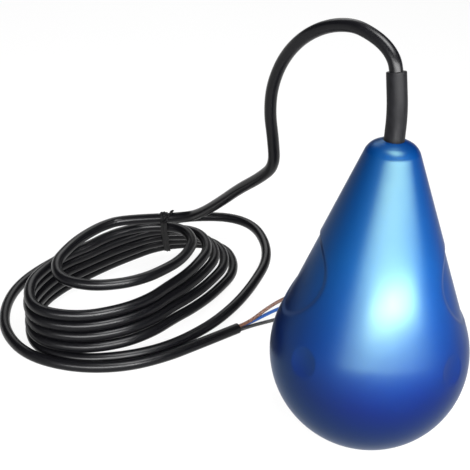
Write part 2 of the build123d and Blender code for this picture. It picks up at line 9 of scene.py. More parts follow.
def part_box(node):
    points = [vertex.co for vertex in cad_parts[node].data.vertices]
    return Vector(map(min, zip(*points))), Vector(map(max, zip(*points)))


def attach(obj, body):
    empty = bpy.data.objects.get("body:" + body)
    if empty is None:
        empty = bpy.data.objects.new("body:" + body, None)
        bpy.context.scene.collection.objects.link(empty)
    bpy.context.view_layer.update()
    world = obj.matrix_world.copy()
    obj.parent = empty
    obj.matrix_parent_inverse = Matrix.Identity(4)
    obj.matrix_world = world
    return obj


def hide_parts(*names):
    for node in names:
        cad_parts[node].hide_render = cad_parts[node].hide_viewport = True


bl_info = {
    "name": "Cable float switch",
    "version": (1, 0, 0),
    "blender": (4, 5, 0),
    "location": "View3D > Sidebar > Float switch",
    "description": "Dresses a packed cable float switch with its casing, cable, cores and finishes",
    "category": "Object",
}

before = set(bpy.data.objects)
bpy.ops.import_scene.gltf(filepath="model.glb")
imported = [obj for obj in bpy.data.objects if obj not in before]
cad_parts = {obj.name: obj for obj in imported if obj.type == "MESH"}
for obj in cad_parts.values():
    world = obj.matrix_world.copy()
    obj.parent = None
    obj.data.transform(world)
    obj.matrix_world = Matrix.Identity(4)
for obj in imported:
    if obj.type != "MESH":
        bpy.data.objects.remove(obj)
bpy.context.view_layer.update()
MM = 0.001
UP = np.array((0.0, 0.0, 1.0))
RIGHT = np.array((1.0, 0.0, 0.0))

# Camera, in metres and radians, with its focal length as a share of the picture's width
CAMERA_PLACE = (-0.07051, -0.43188, 0.32095)
CAMERA_PITCH = math.radians(26.0)
CAMERA_ROLL = math.radians(2.941)
CAMERA_FOCUS = 1000.0 / 470.0
SENSOR_WIDTH = 36.0

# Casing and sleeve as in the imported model, in millimetres, with the cone's angle in radians and
# the dishes' bearing in degrees. The tip's rounding is a little tighter here.
CASING_LOW, CASING_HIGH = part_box("lower_shell")
BALL_RADIUS = (CASING_HIGH.x - CASING_LOW.x) / 2 / MM
TIP_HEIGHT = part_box("upper_shell")[1].z / MM
FOOT_RADIUS = 5.0
CONE_ANGLE = math.radians(20.7)
TIP_EDGE_RADIUS = 12.13
TIP_DOME_RISE = 4.3
TIP_ROUNDING = 5.0
TIP_HOLE_RADIUS = 5.0
PANEL_HALF_WIDTH = 24.0
PANEL_HALF_HEIGHT = 21.0
PANEL_RISE = 24.6
PANEL_RIM = 3.0
DISH_RADIUS = 7.5
DISH_RISE = 11.5
DISH_BEARING = 47.0
SLEEVE_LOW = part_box("bend_sleeve")[0].z / MM
SLEEVE_TOP = (-2.2, 3.2, 194.0)
SLEEVE_BEND_START = 176.0
SLEEVE_BEND_RADIUS = 70.0

# Casing's skin, in millimetres: how far it lies outside the shells, its thickness, the smallest
# radius of its first ring outside and its last ring inside, and its gap to the tip's hole. Its rows
# lie closer from an angle on the ball, in radians, and wider from a height on the cone. Its painted
# shade, a darker low colour, gives way to the main colour between two heights, in metres.
SKIN_PROUD = 0.06
SKIN_THICKNESS = 1.6
SKIN_FIRST_RADIUS = 0.4
SKIN_LAST_RADIUS = 0.3
SKIN_HOLE_GAP = 0.02
BALL_ROWS_CLOSER_FROM = 0.12
CONE_ROWS_WIDER_FROM = 122.0
CASING_SHADE_HEIGHT = (0.045, 0.11)

# Sleeve, in metres
SLEEVE_RADIUS = 0.0049
SLEEVE_TAPER = 0.0002
SLEEVE_EDGE = 0.0004
SLEEVE_BORE_RADIUS = 0.00325
FLANGE_RADIUS = 0.0083
FLANGE_HEIGHT = 0.003
FLANGE_CHAMFER = 0.0002

# Route of the cable over the arch, in metres: the points of the solid's own route
ARCH_POINTS = [
    (-0.0022, 0.0032, 0.194), (-0.0036, 0.0048, 0.1993), (-0.0076, 0.0086, 0.2042),
    (-0.0136, 0.0139, 0.2076), (-0.0215, 0.0215, 0.2096), (-0.0325, 0.032, 0.206),
    (-0.043, 0.043, 0.197), (-0.051, 0.053, 0.1835), (-0.0555, 0.060, 0.167),
    (-0.0558, 0.0635, 0.151), (-0.053, 0.0665, 0.1355), (-0.051, 0.071, 0.1185),
    (-0.058, 0.082, 0.1066), (-0.0693, 0.098, 0.0924), (-0.080, 0.115, 0.076),
    (-0.091, 0.131, 0.061), (-0.101, 0.144, 0.051),
]
SLEEVE_BORE_POINT = (-0.0017, 0.0025, 0.190)

# The coil, one row for each turn from the top down: its reach in metres from the middle towards
# eight directions, from the far end round by the left, the near end and the right, and its height
# in millimetres at those four. The last turn ends after some of its directions.
COIL_MIDDLE = (-0.139, 0.110)
COIL_BEARING = 52.0
TURN_REACH = [
    (0.054, 0.038, 0.029, 0.033, 0.050, 0.0415, 0.035, 0.040),
    (0.056, 0.038, 0.029, 0.044, 0.071, 0.052, 0.038, 0.046),
    (0.071, 0.040, 0.031, 0.046, 0.071, 0.0532, 0.0393, 0.0495),
    (0.079, 0.042, 0.033, 0.046, 0.070, 0.0544, 0.0410, 0.0535),
    (0.089, 0.045, 0.035, 0.047, 0.070, 0.0562, 0.0435, 0.058),
    (0.098, 0.050, 0.038, 0.049, 0.069, 0.060, 0.057, 0.080),
    (0.127, 0.084, 0.074, 0.072, 0.077, 0.0685, 0.064, 0.093),
]
TURN_HEIGHT = [
    (46.0, 44.0, 42.0, 42.0),
    (38.5, 35.0, 30.4, 31.5),
    (31.8, 28.3, 23.7, 25.0),
    (25.0, 21.6, 17.0, 18.5),
    (18.4, 14.8, 10.3, 12.0),
    (12.0, 8.2, 3.6, 5.0),
    (22.0, 3.3, 3.2, 3.2),
]
LYING_HEIGHT = 3.2
LAST_TURN_DIRECTIONS = 6
JACKET_END = (-0.066, 0.0905, 0.0032)
TAIL_START = (-0.104, 0.060, 0.0032)

# Free cores past the jacket's cut end, in metres, with the angle in degrees round the cable's
# middle at which each comes out, its distance from that middle, and its first straight stretch.
# The bared strands start a little inside the insulation.
CORE_ROUTES = {
    "brown": [(-0.049, 0.1055, 0.009), (-0.038, 0.114, 0.0125), (-0.0265, 0.1225, 0.012),
              (-0.0155, 0.1305, 0.0075)],
    "blue": [(-0.0505, 0.106, 0.0036), (-0.041, 0.1155, 0.0038), (-0.0305, 0.1255, 0.0024),
             (-0.020, 0.1355, 0.0013)],
    "black": [(-0.048, 0.1025, 0.0017), (-0.0365, 0.1095, 0.0015), (-0.0245, 0.1145, 0.0013),
              (-0.012, 0.1175, 0.0013)],
}
CORE_ANGLES = {"brown": 100.0, "blue": 340.0, "black": 220.0}
CORE_PITCH = 0.00135
CORE_LEAD = 0.008
STRAND_LENGTH = 0.007
STRAND_START = -0.001
STRAND_RADIUS = 0.00021
STRAND_LAY = 0.011

# Tie, in metres: the plane across the stacked turns where it sits, the range of Y of those turns
# and of the top one alone, the band's section and its slack round the turns, and the twisted end's
# X and bearing in degrees at its start and end
TIE_X = -0.1165
TIE_TURNS = (0.13, 0.195)
TOP_TURN = (0.13, 0.15)
TIE_WIDTH = 0.0042
TIE_WIRE = 0.00042
TIE_EDGE = 0.00022
TIE_SLACK = 1.06
TIE_CLEARANCE = 0.0001
TIE_SWAY = 0.00025
TIE_STEP = 0.0015
TIE_TWIST_X = (-0.1158, -0.1105)
TIE_TWIST_TURN = (-20.0, 112.0)
TIE_TWIST_REACH = 0.0009
TIE_TWIST_LAY = 0.0058
TIE_TWIST_RADIUS = 0.00062
TIE_TWIST_LOBES = 0.00034

# Stage, in metres. Each soft box has its place, its aim, its width and height, and the setting
# and share that give its power. The room's white fades out between two rises above the horizon.
FLOOR_HALF = 12.0
HORIZON = (0.06, 0.12)
SOFT_BOXES = {
    "key_box": ((0.24, -0.80, 0.43), (0.0, 0.0, 0.12), 2.8, 0.42, "key_power", 1.0),
    "near_box": ((0.0245, -0.0932, 0.1080), (0.0045, -0.0374, 0.095), 0.132, 0.022,
                 "near_power", 1.0),
    "tip_box": ((0.05, -0.06, 0.56), (0.0, -0.006, 0.158), 0.30, 0.36, "tip_power", 1.0),
    "left_box": ((-0.75, -0.45, 0.60), (0.0, 0.0, 0.07), 0.9, 0.9, "fill_power", 0.2),
    "back_box": ((-0.2, 1.1, 0.9), (-0.06, 0.06, 0.05), 1.2, 0.7, "fill_power", 1.4),
}


class CasingSettings(bpy.types.PropertyGroup):
    """Colour and relief of the moulded casing."""

    colour: FloatVectorProperty(name="Colour", description="Colour of the casing's plastic",
                                subtype="COLOR", size=3, min=0.0, max=1.0,
                                default=(0.0002, 0.045, 0.120))
    # Painted shade: the darker blue that the casing shows towards its foot.
    painted_shade_colour: FloatVectorProperty(name="Low colour",
                                    description="Colour of the casing towards its foot",
                                    subtype="COLOR", size=3, min=0.0, max=1.0,
                                    default=(0.0002, 0.0030, 0.070))
    roughness: FloatProperty(name="Roughness", description="How wide the casing's shine spreads",
                             default=0.32, min=0.05, max=1.0, subtype="FACTOR")
    grain_depth: FloatProperty(name="Grain depth",
                               description="Depth of the moulded skin's fine grain",
                               default=0.00001, min=0.0, max=0.0002, unit="LENGTH", precision=6)
    panel_depth: FloatProperty(name="Panel depth",
                               description="Depth of the oval panel on each side",
                               default=0.0008, min=0.0, max=0.002, unit="LENGTH", precision=5)
    dish_depth: FloatProperty(name="Dish depth", description="Depth of the four round dishes",
                              default=0.0012, min=0.0, max=0.002, unit="LENGTH", precision=5)
    columns: IntProperty(name="Columns", description="Grid columns round the casing",
                         default=432, min=96, max=480)


class CableSettings(bpy.types.PropertyGroup):
    """Sizes and colours of the cable and its cores."""

    diameter: FloatProperty(name="Diameter", description="Outside of the jacket", default=0.0064,
                            min=0.004, max=0.01, unit="LENGTH", precision=5)
    core_diameter: FloatProperty(name="Core diameter", description="Outside of one insulated core",
                                 default=0.0022, min=0.001, max=0.004, unit="LENGTH", precision=5)
    jacket: FloatVectorProperty(name="Jacket", description="Colour of the jacket", subtype="COLOR",
                                size=3, min=0.0, max=1.0, default=(0.0016, 0.0016, 0.0021))
    brown: FloatVectorProperty(name="Brown core", description="Colour of the brown core",
                               subtype="COLOR", size=3, min=0.0, max=1.0,
                               default=(0.085, 0.032, 0.016))
    blue: FloatVectorProperty(name="Blue core", description="Colour of the blue core",
                              subtype="COLOR", size=3, min=0.0, max=1.0,
                              default=(0.012, 0.075, 0.30))
    black: FloatVectorProperty(name="Black core", description="Colour of the black core",
                               subtype="COLOR", size=3, min=0.0, max=1.0,
                               default=(0.012, 0.012, 0.013))


class StageSettings(bpy.types.PropertyGroup):
    """Floor and studio light."""

    floor: FloatVectorProperty(name="Floor", description="Colour of the floor", subtype="COLOR",
                               size=3, min=0.0, max=1.0, default=(0.90, 0.90, 0.90))
    floor_bounce: FloatVectorProperty(name="Floor bounce",
                                      description="Colour of the light from the floor",
                                      subtype="COLOR", size=3, min=0.0, max=1.0,
                                      default=(0.22, 0.22, 0.22))
    floor_glow: FloatProperty(name="Floor white",
                              description="Share of plain white that the floor shows",
                              default=0.90, min=0.0, max=1.0, subtype="FACTOR")
    key_power: FloatProperty(name="Key light", description="Power of the wide soft box in front",
                             default=60.0, min=0.0, max=100.0, unit="POWER")
    near_power: FloatProperty(name="Near light",
                              description="Power of the low soft box near the casing",
                              default=0.38, min=0.0, max=20.0, unit="POWER")
    tip_power: FloatProperty(name="Tip light",
                             description="Power of the small soft box over the tip",
                             default=4.6, min=0.0, max=20.0, unit="POWER")
    fill_power: FloatProperty(name="Fill lights",
                              description="Power that sets the two high soft boxes",
                              default=4.0, min=0.0, max=100.0, unit="POWER")
    sky: FloatProperty(name="Room light", description="Strength of the even light from all round",
                       default=0.05, min=0.0, max=2.0)


class Wire:
    """An output of a node. Arithmetic on it adds Math nodes."""

    def __init__(self, paint, socket):
        self.paint = paint
        self.socket = socket

    def _math(self, operation, first, second):
        return self.paint.node("ShaderNodeMath", {"operation": operation}, {0: first, 1: second})

    def __add__(self, other):
        return self._math("ADD", self, other)

    def __sub__(self, other):
        return self._math("SUBTRACT", self, other)

    def __rsub__(self, other):
        return self._math("SUBTRACT", other, self)

    def __mul__(self, other):
        return self._math("MULTIPLY", self, other)


class Paint:
    """A material, a lamp's shader or a world whose nodes all come from one method."""

    def __init__(self, name, owner=None):
        self.material = owner or bpy.data.materials.new(name)
        self.material.use_nodes = True
        self.tree = self.material.node_tree
        self.tree.nodes.clear()

    def node(self, kind, settings=None, inputs=None, output=0):
        """Add a node, give it its settings, then its values or links, and return one output."""
        made = self.tree.nodes.new(kind)
        for key, value in (settings or {}).items():
            setattr(made, key, value)
        for key, value in (inputs or {}).items():
            if isinstance(value, Wire):
                self.tree.links.new(value.socket, made.inputs[key])
            else:
                made.inputs[key].default_value = value
        return Wire(self, made.outputs[output]) if len(made.outputs) else None

    def place(self, output="Object"):
        """Object coordinates, or another output of the coordinates node."""
        return self.node("ShaderNodeTexCoord", output=output)

    def stretched(self, scale, source="Object"):
        """Coordinates stretched by a scale on each axis."""
        return self.node("ShaderNodeMapping", inputs={"Vector": self.place(source), "Scale": scale})

    def noise(self, scale, detail=2.0, roughness=0.5, vector=None):
        """Cloudy values from 0 to 1, with lumps one over the scale across, in metres."""
        return self.node("ShaderNodeTexNoise", inputs={
            "Vector": vector or self.place(), "Scale": scale, "Detail": detail,
            "Roughness": roughness})

    def mixed(self, share, low, high):
        """A colour between two, by a share from 0 to 1."""
        return self.node("ShaderNodeMix", {"data_type": "RGBA"}, {0: share, 6: low, 7: high},
                         output=2)

    def limited(self, value, low, high, start=0.0, end=1.0):
        """A value carried from one range to another, and held inside it."""
        return self.node("ShaderNodeMapRange", inputs={
            "Value": value, "From Min": low, "From Max": high, "To Min": start, "To Max": end})

    def axis(self, vector, number):
        """One coordinate of a vector: 0 for X, 1 for Y, 2 for Z."""
        return self.node("ShaderNodeSeparateXYZ", inputs={0: vector}, output=number)

    def shown(self):
        """1 for what the camera sees, also in a shine or through glass, and 0 for other light."""
        camera, glossy, through = (
            self.node("ShaderNodeLightPath", output=f"Is {kind} Ray")
            for kind in ("Camera", "Glossy", "Transmission"))
        return camera + glossy + through

    def relief(self, height, depth, under=None):
        """A Bump node for a height from 0 to 1 that stands for a depth in metres."""
        inputs = {"Height": height, "Distance": depth, "Strength": 1.0}
        if under:
            inputs["Normal"] = under
        return self.node("ShaderNodeBump", inputs=inputs)

    def done(self, **sockets):
        """Close the material with a Principled shader. Underscores stand for spaces."""
        inputs = {key.replace("_", " "): value for key, value in sockets.items()}
        self.close(self.node("ShaderNodeBsdfPrincipled", inputs=inputs))
        return self.material

    def close(self, shader, kind="ShaderNodeOutputMaterial"):
        """Lead a shader to the output."""
        self.node(kind, inputs={"Surface": shader})


def shade(colour, amount):
    """A colour made lighter or darker by one factor, with full alpha."""
    return (*[min(1.0, c * amount) for c in colour], 1.0)


def casing_plastic(settings):
    """Glossy moulded plastic with painted shade that darkens it towards the foot along an uneven
    edge, and a very fine grain, under a thin clear layer whose tint keeps the edges blue."""
    paint = Paint("casing_plastic")
    height = paint.axis(paint.place(), 2)
    # Painted shade: towards the foot the colour darkens to the low colour, its edge made uneven by
    # noise.
    shade_edge_noise = paint.noise(28.0, 3.0, 0.55)
    rise = paint.limited(height + (shade_edge_noise - 0.5) * 0.02, *CASING_SHADE_HEIGHT)
    base = paint.mixed(rise, (*settings.painted_shade_colour, 1.0), (*settings.colour, 1.0))
    grain = paint.noise(2600.0, 2.0, 0.5)
    wave = paint.noise(60.0, 1.0, 0.4)
    rough = paint.limited(paint.noise(240.0, 4.0, 0.6), 0.3, 0.7,
                          settings.roughness - 0.02, settings.roughness + 0.03)
    slow = paint.relief(wave, settings.grain_depth * 6)
    fine = paint.relief(grain, settings.grain_depth, slow)
    return paint.done(Base_Color=base, Roughness=rough, Normal=fine, IOR=1.68,
                      Specular_Tint=(1.0, 1.0, 0.45, 1.0), Coat_Weight=1.0,
                      Coat_Roughness=0.3, Coat_IOR=1.10, Coat_Tint=(0.22, 0.41, 0.62, 1.0))


def jacket_rubber(settings):
    """Black jacket: fine lines along the cable from its making, light dust, soft shine."""
    paint = Paint("jacket_rubber")
    colour = tuple(settings.jacket)
    lines = paint.noise(1.0, 3.0, 0.6, paint.stretched((30.0, 34.0, 1.0), "UV"))
    dust = paint.limited(paint.noise(900.0, 5.0, 0.65), 0.56, 0.78)
    base = paint.mixed(dust * 0.2, shade(colour, 1.0), (0.02, 0.02, 0.022, 1.0))
    rough = paint.limited(lines, 0.3, 0.7, 0.25, 0.35)
    skin = paint.relief(paint.noise(1500.0, 3.0, 0.55), 0.00002,
                        paint.relief(lines, 0.00003))
    return paint.done(Base_Color=base, Roughness=rough, Normal=skin, IOR=1.26)


def sleeve_rubber():
    """Soft black rubber with a moulded satin skin, greyer than the jacket."""
    paint = Paint("sleeve_rubber")
    bloom = paint.limited(paint.noise(350.0, 4.0, 0.6), 0.35, 0.75)
    base = paint.mixed(bloom, (0.002, 0.002, 0.0025, 1.0), (0.005, 0.005, 0.006, 1.0))
    rough = paint.limited(bloom, 0.0, 1.0, 0.42, 0.54)
    skin = paint.relief(paint.noise(2400.0, 2.0, 0.5), 0.00002)
    return paint.done(Base_Color=base, Roughness=rough, Normal=skin, IOR=1.20)


def tie_cover():
    """Dull black cover of a flat tie, with fine clouding and almost no shine."""
    paint = Paint("tie_cover")
    cloud = paint.noise(420.0, 3.0, 0.55)
    base = paint.mixed(cloud, (0.0012, 0.0012, 0.0014, 1.0), (0.0030, 0.0030, 0.0034, 1.0))
    rough = paint.limited(cloud, 0.2, 0.8, 0.55, 0.68)
    skin = paint.relief(paint.noise(2200.0, 2.0, 0.5), 0.00001)
    return paint.done(Base_Color=base, Roughness=rough, Normal=skin, IOR=1.18)


def moulded(name, colour, roughness, grain, depth=0.00001):
    """Moulded plastic of one colour with slight clouding and a fine grain."""
    paint = Paint(name)
    cloud = paint.noise(180.0, 3.0, 0.5)
    base = paint.mixed(cloud, shade(colour, 0.88), shade(colour, 1.12))
    rough = paint.limited(cloud, 0.2, 0.8, roughness - 0.05, roughness + 0.06)
    skin = paint.relief(paint.noise(grain, 2.0, 0.5), depth)
    return paint.done(Base_Color=base, Roughness=rough, Normal=skin, IOR=1.48)


def worked_metal(name, colour, roughness, stretch):
    """Drawn, turned or plated metal: fine lines in one direction that blur its shine."""
    paint = Paint(name)
    lines = paint.noise(1.0, 4.0, 0.6, paint.stretched(stretch))
    stain = paint.noise(320.0, 4.0, 0.6)
    base = paint.mixed(stain, shade(colour, 0.82), shade(colour, 1.08))
    rough = paint.limited(lines, 0.25, 0.75, roughness - 0.08, roughness + 0.12)
    skin = paint.relief(lines, 0.000006)
    return paint.done(Base_Color=base, Metallic=1.0, Roughness=rough, Normal=skin)


def cast_iron():
    """Grey cast iron with a coarse sand skin, and darker pits."""
    paint = Paint("cast_iron")
    sand = paint.noise(900.0, 6.0, 0.65)
    pits = paint.limited(paint.node("ShaderNodeTexVoronoi", inputs={
        "Vector": paint.place(), "Scale": 420.0}), 0.0, 0.35)
    base = paint.mixed(pits, (0.045, 0.043, 0.042, 1.0), (0.13, 0.128, 0.125, 1.0))
    rough = paint.limited(sand, 0.3, 0.7, 0.55, 0.78)
    skin = paint.relief(sand * 0.7 + pits * 0.3, 0.00012)
    return paint.done(Base_Color=base, Metallic=0.75, Roughness=rough, Normal=skin)


def copper_strands():
    """Bright drawn copper, dulled in places."""
    paint = Paint("copper_strands")
    dull = paint.limited(paint.noise(1500.0, 4.0, 0.6), 0.35, 0.75)
    base = paint.mixed(dull, (0.83, 0.36, 0.20, 1.0), (0.46, 0.17, 0.09, 1.0))
    rough = paint.limited(dull, 0.0, 1.0, 0.22, 0.42)
    skin = paint.relief(paint.noise(4000.0, 2.0, 0.5), 0.000008)
    return paint.done(Base_Color=base, Metallic=1.0, Roughness=rough, Normal=skin)


def line_lengths(line):
    """Distance along a line at each of its points."""
    return np.r_[0.0, np.cumsum(np.linalg.norm(np.diff(line, axis=0), axis=1))]


def make_surface(name, grid, material, ring_closed=False, along=None, sharp=35.0):
    """A mesh from rows of rings. Each ring closes on itself. The rows close too if ring_closed,
    and otherwise the first and last ring are closed with a fan to their middle. UV runs along
    the rows in metres and once round each ring."""
    rows, sides = grid.shape[:2]
    vertices = grid.reshape(-1, 3)
    i, j = np.meshgrid(np.arange(rows if ring_closed else rows - 1), np.arange(sides),
                       indexing="ij")
    below, left = (i + 1) % rows, (j + 1) % sides
    quads = np.stack([i * sides + j, i * sides + left, below * sides + left, below * sides + j],
                     -1).reshape(-1, 4)
    if along is None:
        along = line_lengths(grid.mean(axis=1))
    along = np.r_[along, along[-1]]
    uv = np.stack([
        np.stack([along[i], j / sides], -1), np.stack([along[i], (j + 1) / sides], -1),
        np.stack([along[i + 1], (j + 1) / sides], -1), np.stack([along[i + 1], j / sides], -1),
    ], 2).reshape(-1, 4, 2)
    a, b, c, d = (vertices[quads[:, k]] for k in range(4))
    volume = (np.einsum("ij,ij->i", a, np.cross(b, c)) + np.einsum("ij,ij->i", a, np.cross(c, d)))
    faces = [quads]
    uvs = [uv.reshape(-1, 2)]
    if not ring_closed:
        ends = np.array([grid[0].mean(0), grid[-1].mean(0)])
        vertices = np.r_[vertices, ends]
        k = np.arange(sides)
        after = (k + 1) % sides
        first = np.stack([np.full(sides, rows * sides), after, k], -1)
        last = (rows - 1) * sides
        final = np.stack([np.full(sides, rows * sides + 1), last + k, last + after], -1)
        faces += [first, final]
        uvs += [np.zeros((sides * 3, 2)), np.full((sides * 3, 2), along[-1])]
    if volume.sum() < 0:
        faces = [f[:, ::-1] for f in faces]
        uvs[0] = uv[:, ::-1].reshape(-1, 2)
    mesh = bpy.data.meshes.new(name)
    mesh.from_pydata(vertices.tolist(), [], [f for part in faces for f in part.tolist()])
    layer = mesh.uv_layers.new(name="along_and_round")
    layer.data.foreach_set("uv", np.concatenate(uvs).ravel().astype(np.float32))
    mesh.polygons.foreach_set("use_smooth", np.ones(len(mesh.polygons), bool))
    mesh.set_sharp_from_angle(angle=math.radians(sharp))
    mesh.validate()
    piece = bpy.data.objects.new(name, mesh)
    bpy.context.scene.collection.objects.link(piece)
    mesh.materials.append(material)
    return piece


def joined(name, pieces):
    """Several meshes as one piece."""
    with bpy.context.temp_override(active_object=pieces[0], selected_editable_objects=pieces,
                                   selected_objects=pieces, object=pieces[0]):
        bpy.ops.object.join()
    pieces[0].name = name
    pieces[0].data.name = name
    return pieces[0]


def route_line(points, steps):
    """Points along the clamped quadratic NURBS spline that a route's points control."""
    data = bpy.data.curves.new("route", "CURVE")
    data.dimensions = "3D"
    data.resolution_u = steps
    spline = data.splines.new("NURBS")
    spline.points.add(len(points) - 1)
    spline.points.foreach_set("co", np.c_[np.array(points), np.ones(len(points))].ravel())
    spline.order_u = 3
    spline.use_endpoint_u = True
    holder = bpy.data.objects.new("route", data)
    mesh = bpy.data.meshes.new_from_object(holder)
    line = np.empty(len(mesh.vertices) * 3)
    mesh.vertices.foreach_get("co", line)
    bpy.data.objects.remove(holder)
    bpy.data.meshes.remove(mesh)
    bpy.data.curves.remove(data)
    return line.reshape(-1, 3)


def side_vectors(line):
    """Two unit vectors across a line at each point, carried along it without twist by
    reflecting them in the plane halfway to the next point, and again to its tangent. The first
    starts upward, or to the right where the line itself starts upward."""
    steps = np.gradient(line, axis=0)
    tangents = steps / np.linalg.norm(steps, axis=1)[:, None]
    first = UP - tangents[0] * (tangents[0] @ UP)
    if np.linalg.norm(first) < 0.1:
        first = RIGHT - tangents[0] * (tangents[0] @ RIGHT)
    across = [first / np.linalg.norm(first)]
    for k in range(len(line) - 1):
        hop = line[k + 1] - line[k]
        mirrored = across[-1] - hop * (2 * (hop @ across[-1]) / (hop @ hop))
        turned = tangents[k] - hop * (2 * (hop @ tangents[k]) / (hop @ hop))
        rest = tangents[k + 1] - turned
        across.append(mirrored - rest * (2 * (rest @ mirrored) / max(rest @ rest, 1e-18)))
    across = np.array(across)
    return across, np.cross(tangents, across)


def angles_round(sides):
    """Equal steps once round, from 0."""
    return np.linspace(0, 2 * math.pi, sides, endpoint=False)


def rings(line, across, upward, radius, sides):
    """Rings round a line: line + radius (across cos v + upward sin v). The radius is one number,
    or a table with a row for each ring."""
    turn = angles_round(sides)
    ring = (np.cos(turn)[None, :, None] * across[:, None] +
            np.sin(turn)[None, :, None] * upward[:, None])
    return line[:, None] + np.asarray(radius)[..., None] * ring


def tube_grid(line, radius, sides):
    """A round tube along a line."""
    return rings(line, *side_vectors(line), radius, sides)


def between(values, k):
    """The value halfway after k on a smooth cubic through four neighbours."""
    return (-values[k - 1] + 9 * values[k] + 9 * values[k + 1] - values[k + 2]) / 16


def coil_points():
    """Sixteen points a turn, in metres: the listed reaches and heights, and one halfway between
    each."""
    reaches = [reach for row in TURN_REACH for reach in row]
    listed = [height for row in TURN_HEIGHT for height in row] + [LYING_HEIGHT]
    heights = []
    for here, after in zip(listed, listed[1:]):
        heights += [here * MM, (here + after) / 2 * MM]
    directions = len(TURN_REACH[0])
    last = (len(TURN_REACH) - 1) * directions + LAST_TURN_DIRECTIONS
    points = []
    for step in range(2, 2 * last + 1):
        k, half = divmod(step, 2)
        reach = between(reaches, k) if half else reaches[k]
        height = between(heights, k) if half else heights[k]
        turn = math.radians(COIL_BEARING + 360 / directions * (step / 2))
        points.append((COIL_MIDDLE[0] + reach * math.cos(turn),
                       COIL_MIDDLE[1] + reach * math.sin(turn), max(height, LYING_HEIGHT * MM)))
    return points


def cable_line():
    """The cable's middle line from inside the sleeve, over the arch, round the coil to its end."""
    return route_line([SLEEVE_BORE_POINT] + ARCH_POINTS + coil_points() + [JACKET_END], 10)


def crossings(line, x, span):
    """Where a line passes a plane across X, within a span of Y."""
    ahead = line[1:, 0] - x
    behind = line[:-1, 0] - x
    k = np.nonzero(ahead * behind < 0)[0]
    share = (behind[k] / (behind[k] - ahead[k]))[:, None]
    places = line[k] + share * (line[k + 1] - line[k])
    return places[(places[:, 1] > span[0]) & (places[:, 1] < span[1])]


def tail_frame():
    """Unit vectors along the cable's last stretch, and to its side."""
    along = (Vector(JACKET_END) - Vector(TAIL_START)).normalized()
    return along, Vector(UP).cross(along)


class FLOATSWITCH_OT_place_camera(bpy.types.Operator):
    """Place the camera at the photograph's viewing angle"""

    bl_idname = "floatswitch.place_camera"
    bl_label = "Place camera"

    def execute(self, context):
        forward = Vector((0, math.cos(CAMERA_PITCH), -math.sin(CAMERA_PITCH)))
        upward = Vector((0, math.sin(CAMERA_PITCH), math.cos(CAMERA_PITCH)))
        right = Vector(RIGHT)
        local_x = right * math.cos(CAMERA_ROLL) + upward * math.sin(CAMERA_ROLL)
        local_y = upward * math.cos(CAMERA_ROLL) - right * math.sin(CAMERA_ROLL)
        lens = bpy.data.cameras.new("camera")
        lens.sensor_width = SENSOR_WIDTH
        lens.lens = CAMERA_FOCUS * SENSOR_WIDTH
        lens.clip_start = 0.01
        camera = bpy.data.objects.new("camera", lens)
        turned = Matrix((local_x, local_y, -forward)).transposed()
        camera.matrix_world = Matrix.Translation(CAMERA_PLACE) @ turned.to_4x4()
        context.scene.collection.objects.link(camera)
        context.scene.camera = camera
        return {"FINISHED"}


class FLOATSWITCH_OT_lay_cable(bpy.types.Operator):
    """Lay the cable from the sleeve over the arch into the coil and out to its cut end"""

    bl_idname = "floatswitch.lay_cable"
    bl_label = "Lay cable"

    def execute(self, context):
        settings = context.scene.floatswitch_cable
        line = cable_line()
        lengths = line_lengths(line)
        grid = tube_grid(line, settings.diameter / 2, 20)
        piece = make_surface("free_cable", grid, jacket_rubber(settings), along=lengths)
        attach(piece, "root")
        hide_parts("cable", "cable_coil", "cable_tail")
        self.report({"INFO"}, f"cable {lengths[-1]:.3f} m")
        return {"FINISHED"}


def strand_bundle(name, start, heading, material):
    """Seven fine wires: one straight, and six on a helix round it, each a thin tube."""
    across = np.cross(heading, UP)
    across /= np.linalg.norm(across)
    upward = np.cross(across, heading)
    s = np.linspace(STRAND_START, STRAND_LENGTH, 28)
    wires = []
    for k in range(7):
        radius = 0.0 if k == 0 else 2 * STRAND_RADIUS
        turn = 2 * math.pi * (s / STRAND_LAY + k / 6)
        line = (start + s[:, None] * heading + radius * np.cos(turn)[:, None] * across +
                radius * np.sin(turn)[:, None] * upward)
        wires.append(make_surface(f"{name}_wire", tube_grid(line, STRAND_RADIUS, 8), material))
    return joined(name, wires)


class FLOATSWITCH_OT_lay_cores(bpy.types.Operator):
    """Lay the three bare cores past the jacket's end, with twisted strands at their tips"""

    bl_idname = "floatswitch.lay_cores"
    bl_label = "Lay cores"

    def execute(self, context):
        settings = context.scene.floatswitch_cable
        along, side = tail_frame()
        copper = copper_strands()
        for colour, route in CORE_ROUTES.items():
            turn = math.radians(CORE_ANGLES[colour])
            start = (Vector(JACKET_END) + side * (CORE_PITCH * math.cos(turn)) +
                     Vector(UP) * (CORE_PITCH * math.sin(turn)))
            line = route_line([tuple(start), tuple(start + along * CORE_LEAD)] + route, 12)
            lengths = line_lengths(line)
            grid = tube_grid(line, settings.core_diameter / 2, 20)
            paint = moulded(f"{colour}_insulation", tuple(getattr(settings, colour)), 0.34, 3000.0)
            core = make_surface(f"free_core_{colour}", grid, paint, along=lengths)
            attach(core, "root")
            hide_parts(f"core_{colour}")
            heading = line[-1] - line[-2]
            bundle = strand_bundle(f"bare_strands_{colour}", line[-1],
                                   heading / np.linalg.norm(heading), copper)
            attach(bundle, "root")
            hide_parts(f"strands_{colour}")
        return {"FINISHED"}


def profile_arc(middle_r, middle_z, radius, start, end, count):
    """An arc of the profile after its first point: middle + radius (cos v, sin v), with normals
    (cos v, sin v)."""
    turn = np.linspace(start, end, count)[1:]
    out_r, out_z = np.cos(turn), np.sin(turn)
    return np.c_[middle_r + radius * out_r, middle_z + radius * out_z, out_r, out_z]


